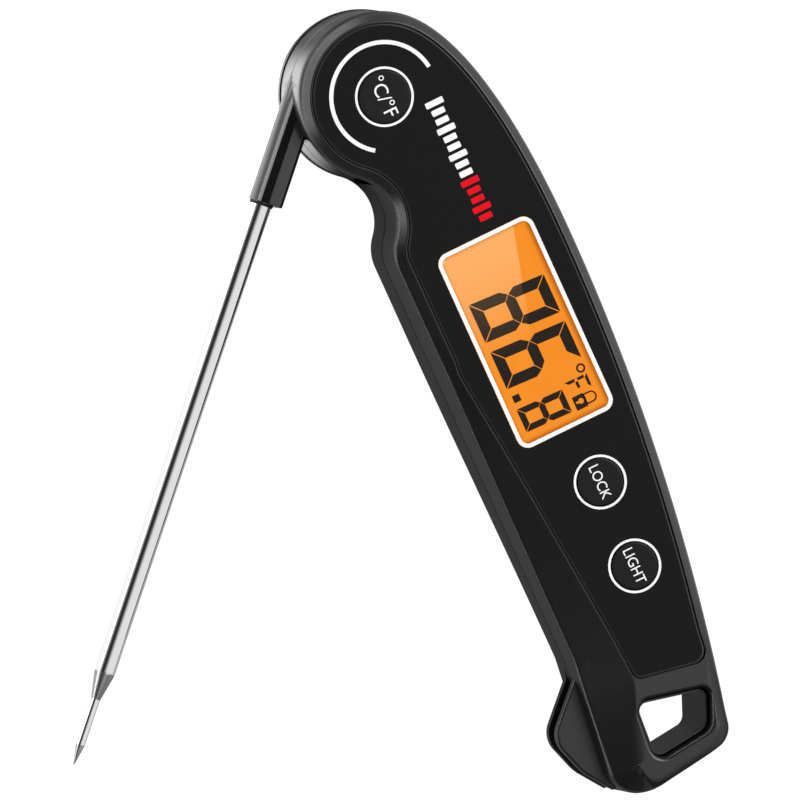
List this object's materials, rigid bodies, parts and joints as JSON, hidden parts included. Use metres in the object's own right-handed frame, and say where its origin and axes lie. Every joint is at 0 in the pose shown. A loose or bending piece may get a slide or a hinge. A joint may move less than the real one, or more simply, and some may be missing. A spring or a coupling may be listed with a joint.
{
  "type": "folding probe thermometer",
  "caption": "Handheld meat thermometer with a steel needle probe that folds into the handle, backlit display, push keys and a hanging loop.",
  "frame": {"origin": "on the flat back of the round head, where the probe's hinge axis meets the back plane", "axes": "+Z out of the face, along the hinge axis; +Y from the hanging loop toward the round head; +X to the right of the face, away from the side the probe folds against"},
  "size_m": [0.1207, 0.1487, 0.02],
  "materials": {
    "shell_black": "fine satin black ABS",
    "panel_black": "gloss black printed lens",
    "window_clear": "clear polycarbonate",
    "key_black": "semi-gloss black",
    "rubber_black": "matt black rubber",
    "rubber_grey": "matt grey silicone",
    "steel_polished": "polished stainless steel",
    "steel_ground": "ground stainless steel",
    "steel_plated": "nickel-plated steel",
    "brass": "turned brass",
    "arm_black": "gloss black nylon",
    "display_amber": "amber liquid-crystal cell",
    "guide_amber": "amber light guide",
    "holder_white": "white plastic",
    "board_green": "green solder resist",
    "flex_amber": "polyimide film",
    "chip_black": "black moulding compound",
    "led_yellow": "LED encapsulant",
    "cell_wrap": "printed steel can",
    "label_grey": "printed label",
    "acetal_white": "acetal",
    "wire_white": "insulated wire",
    "bead_brown": "epoxy bead"
  },
  "bodies": {
    "handle": {"rear_shell": "shell_black", "front_shell": "shell_black", "case_seal": "rubber_black", "face_panel": "panel_black", "display_window": "window_clear", "unit_key_seal": "rubber_grey", "lock_key_seal": "rubber_grey", "light_key_seal": "rubber_grey", "unit_switch": "steel_plated", "lock_switch": "steel_plated", "light_switch": "steel_plated", "lcd_glass": "display_amber", "backlight_plate": "guide_amber", "lcd_holder": "holder_white", "contact_strip": "rubber_grey", "backlight_led_left": "led_yellow", "backlight_led_right": "led_yellow", "main_board": "board_green", "key_board": "board_green", "processor_chip": "chip_black", "motion_sensor": "chip_black", "crystal_can": "steel_plated", "key_flex": "flex_amber", "hinge_lead": "wire_white", "battery_cell": "cell_wrap", "contact_upper": "steel_plated", "contact_lower": "steel_plated", "contact_spring": "steel_plated", "screw_insert": "brass", "case_screw_1": "steel_plated", "case_screw_2": "steel_plated", "case_screw_3": "steel_plated", "case_screw_4": "steel_plated", "rear_magnet": "steel_plated", "rear_label": "label_grey", "head_cup": "shell_black", "hinge_washer": "acetal_white", "hinge_spring": "steel_plated"},
    "probe": {"hub_front": "arm_black", "hub_rear": "arm_black", "hub_seal_front": "rubber_black", "hub_seal_rear": "rubber_black", "probe_tube": "steel_polished", "probe_tip": "steel_ground", "thermistor": "bead_brown", "probe_lead": "wire_white", "socket_seal": "rubber_black"},
    "unit_button": {"unit_key": "key_black"},
    "lock_button": {"lock_key": "key_black"},
    "light_button": {"light_key": "key_black"},
    "door": {"battery_door": "shell_black", "door_seal": "rubber_grey", "door_screw": "steel_plated"}
  },
  "joints": [
    {"name": "probe_fold", "type": "hinge", "parent": "handle", "child": "probe", "pos_m": [0, 0, 0.01], "axis": [0, 0, 1], "range_deg": [-136, 44]},
    {"name": "unit_press", "type": "slide", "parent": "handle", "child": "unit_button", "axis": [0, 0, -1], "range_m": [0, 0.0005], "stiffness_N_per_m": 2000},
    {"name": "lock_press", "type": "slide", "parent": "handle", "child": "lock_button", "axis": [0, 0, -1], "range_m": [0, 0.0005], "stiffness_N_per_m": 2000},
    {"name": "light_press", "type": "slide", "parent": "handle", "child": "light_button", "axis": [0, 0, -1], "range_m": [0, 0.0005], "stiffness_N_per_m": 2000},
    {"name": "door_lift", "type": "slide", "parent": "handle", "child": "door", "axis": [0, 0, -1], "range_m": [0, 0.02]}
  ]
}
